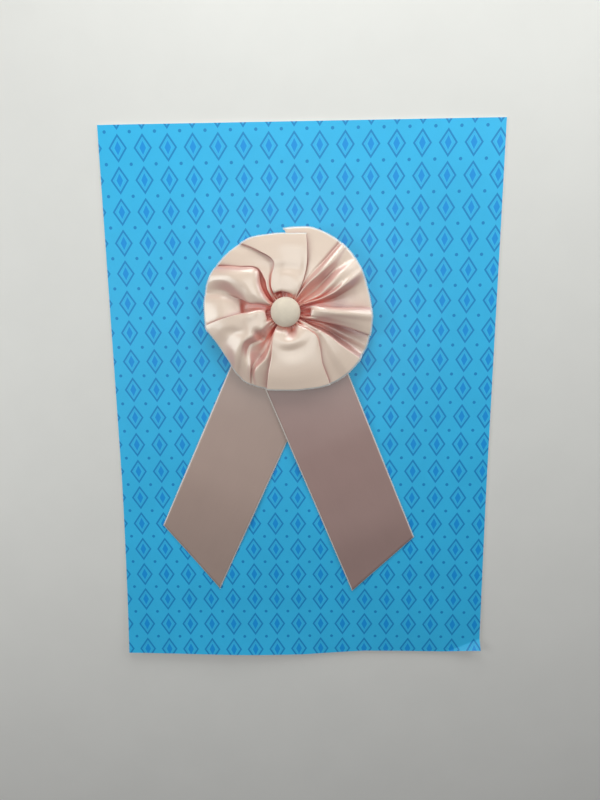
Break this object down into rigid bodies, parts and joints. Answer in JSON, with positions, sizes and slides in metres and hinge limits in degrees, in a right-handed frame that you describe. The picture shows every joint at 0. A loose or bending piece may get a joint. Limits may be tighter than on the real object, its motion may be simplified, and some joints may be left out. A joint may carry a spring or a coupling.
{
  "type": "ribbon cockade on backing card",
  "caption": "Gathered satin ribbon rosette with a covered button at its middle and slant-cut ribbon tails, fastened to a flat printed backing card.",
  "frame": {"origin": "centre of the flat back face of the card", "axes": "+Z out of the card's printed face, +Y to the top of the card, +X to its right as one looks at the print"},
  "size_m": [0.23, 0.33, 0.0155],
  "materials": {
    "card_board": "coated light blue with a darker blue print of small outlined shapes",
    "tail_ribbon": "taupe satin ribbon",
    "rosette_ribbon": "cream pink satin ribbon",
    "button_cloth": "cream satin",
    "button_core": "plain"
  },
  "bodies": {
    "root": {"card": "card_board", "tail_left": "tail_ribbon", "tail_right": "tail_ribbon", "rosette": "rosette_ribbon", "button_cover": "button_cloth", "button_core": "button_core"}
  },
  "joints": []
}
